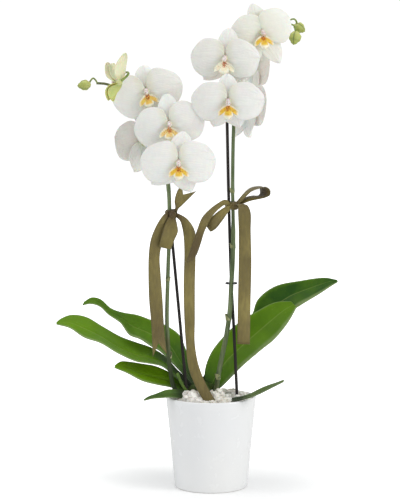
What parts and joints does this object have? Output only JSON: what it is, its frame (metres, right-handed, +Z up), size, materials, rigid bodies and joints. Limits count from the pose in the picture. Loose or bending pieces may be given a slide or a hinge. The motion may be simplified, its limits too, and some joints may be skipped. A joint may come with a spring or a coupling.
{
  "type": "potted orchid",
  "caption": "White-flowered moth orchid with two staked flower spikes and ribbon ties, standing in a round tapered ceramic pot topped with pebbles.",
  "frame": {"origin": "centre of the flat underside of the pot, on the surface that the pot stands on", "axes": "+Z up along the plant's height, +X to the right and +Y away from someone looking at the front of the blooms"},
  "size_m": [0.4095, 0.1363, 0.6884],
  "materials": {
    "glazed_ceramic": "gloss",
    "bark": "matte",
    "white_stone": "matte",
    "crown_green": "satin",
    "leaf_green": "satin",
    "stem_green": "satin",
    "clip_plastic": "satin",
    "stake_dark": "satin",
    "petal_white": "satin",
    "lip_yellow": "satin",
    "bud_green": "satin",
    "ribbon_olive": "satin"
  },
  "bodies": {
    "root": {"pot": "glazed_ceramic", "bark_fill": "bark", "white_pebbles": "white_stone", "crown": "crown_green", "bloom_half_open": "petal_white", "bloom_left_1": "petal_white", "bloom_left_2": "petal_white", "bloom_left_3": "petal_white", "bloom_left_4": "petal_white", "bloom_right_1": "petal_white", "bloom_right_2": "petal_white", "bloom_right_3": "petal_white", "bloom_right_4": "petal_white", "bloom_right_5": "petal_white", "bud_left": "bud_green", "bud_right_lower": "bud_green", "bud_right_upper": "bud_green", "leaf_front_right": "leaf_green", "leaf_lower_left": "leaf_green", "leaf_middle_left": "leaf_green", "leaf_over_left_rim": "leaf_green", "leaf_over_right_rim": "leaf_green", "leaf_rear_right": "leaf_green", "leaf_upper_left": "leaf_green", "lip_left_1": "lip_yellow", "lip_left_2": "lip_yellow", "lip_left_3": "lip_yellow", "lip_left_4": "lip_yellow", "lip_right_1": "lip_yellow", "lip_right_2": "lip_yellow", "lip_right_3": "lip_yellow", "lip_right_4": "lip_yellow", "lip_right_5": "lip_yellow", "ribbon_left": "ribbon_olive", "ribbon_right": "ribbon_olive", "spike_left": "stem_green", "spike_right": "stem_green", "stake_clip": "clip_plastic", "stake_left": "stake_dark", "stake_right": "stake_dark"}
  },
  "joints": []
}
